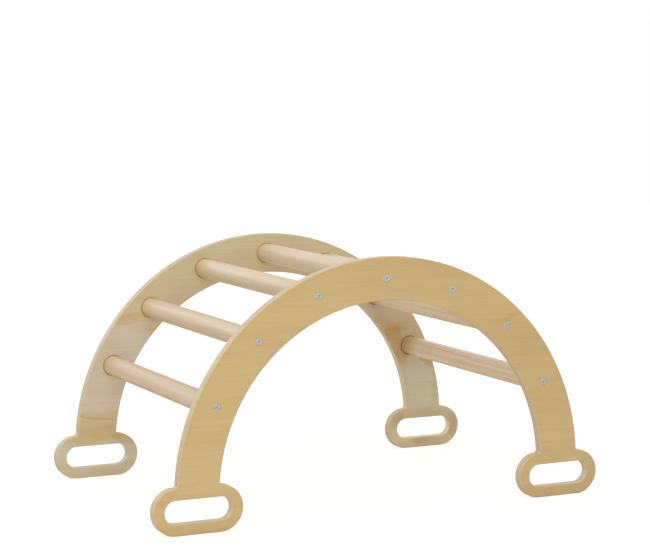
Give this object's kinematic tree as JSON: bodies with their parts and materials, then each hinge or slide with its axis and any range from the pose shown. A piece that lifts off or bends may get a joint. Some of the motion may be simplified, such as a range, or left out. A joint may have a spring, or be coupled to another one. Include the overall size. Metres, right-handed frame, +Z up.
{
  "type": "rocker arch",
  "caption": "Wooden climbing and rocking arch: two plywood arch panels with slotted pill-shaped feet, joined by round rungs bolted at both ends.",
  "frame": {"origin": "on the floor, under the middle of the arch and midway between the two side panels", "axes": "+X along the arch from rung 1 to the last rung, +Y across it from the front panel to the back panel, +Z up"},
  "size_m": [0.8798, 0.544, 0.459],
  "materials": {
    "panel_plywood": "clear satin lacquer over sanded birch-faced plywood, edges sanded round",
    "rung_beech": "turned and sanded, clear satin lacquer",
    "bolt_zinc_steel": "bright zinc plate",
    "insert_brass": "plain turned"
  },
  "bodies": {
    "root": {"front_side_panel": "panel_plywood", "back_side_panel": "panel_plywood", "rung_1": "rung_beech", "rung_2": "rung_beech", "rung_3": "rung_beech", "rung_4": "rung_beech", "rung_5": "rung_beech", "rung_6": "rung_beech", "rung_7": "rung_beech", "rung_1_bolts": "bolt_zinc_steel", "rung_2_bolts": "bolt_zinc_steel", "rung_3_bolts": "bolt_zinc_steel", "rung_4_bolts": "bolt_zinc_steel", "rung_5_bolts": "bolt_zinc_steel", "rung_6_bolts": "bolt_zinc_steel", "rung_7_bolts": "bolt_zinc_steel", "rung_1_inserts": "insert_brass", "rung_2_inserts": "insert_brass", "rung_3_inserts": "insert_brass", "rung_4_inserts": "insert_brass", "rung_5_inserts": "insert_brass", "rung_6_inserts": "insert_brass", "rung_7_inserts": "insert_brass"}
  },
  "joints": []
}
